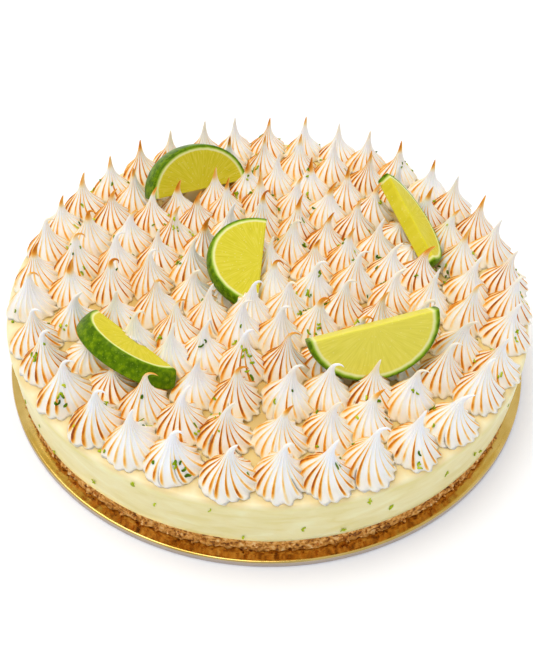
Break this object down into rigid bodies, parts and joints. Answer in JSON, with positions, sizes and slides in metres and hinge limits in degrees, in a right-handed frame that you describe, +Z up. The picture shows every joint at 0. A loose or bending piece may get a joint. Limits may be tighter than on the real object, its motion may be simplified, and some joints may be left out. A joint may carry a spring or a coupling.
{
  "type": "lime meringue cream pie",
  "caption": "Round lime cream pie on a crumb base and a gold cake card, covered with torched piped meringue kisses, lime slices and zest.",
  "frame": {"origin": "middle of the underside of the cake card", "axes": "+Z up through the pie, -Y towards the front, +X to the right seen from the front"},
  "size_m": [0.2468, 0.2468, 0.0647],
  "materials": {
    "gold_card": "gold foil laminated on board, glossy",
    "crumb": "pressed biscuit crumb, craggy and matt",
    "cream": "set lime cream, smooth satin",
    "meringue": "piped meringue, browned along its crests",
    "lime": "moist lime flesh, pale pith and waxy green rind"
  },
  "bodies": {
    "root": {"cake_card": "gold_card", "crumb_base": "crumb", "lime_filling": "cream", "meringue": "meringue", "lime_slice_front_right": "lime", "lime_slice_middle": "lime", "lime_slice_front_left": "lime", "lime_slice_back_left": "lime", "lime_slice_back_right": "lime"}
  },
  "joints": []
}
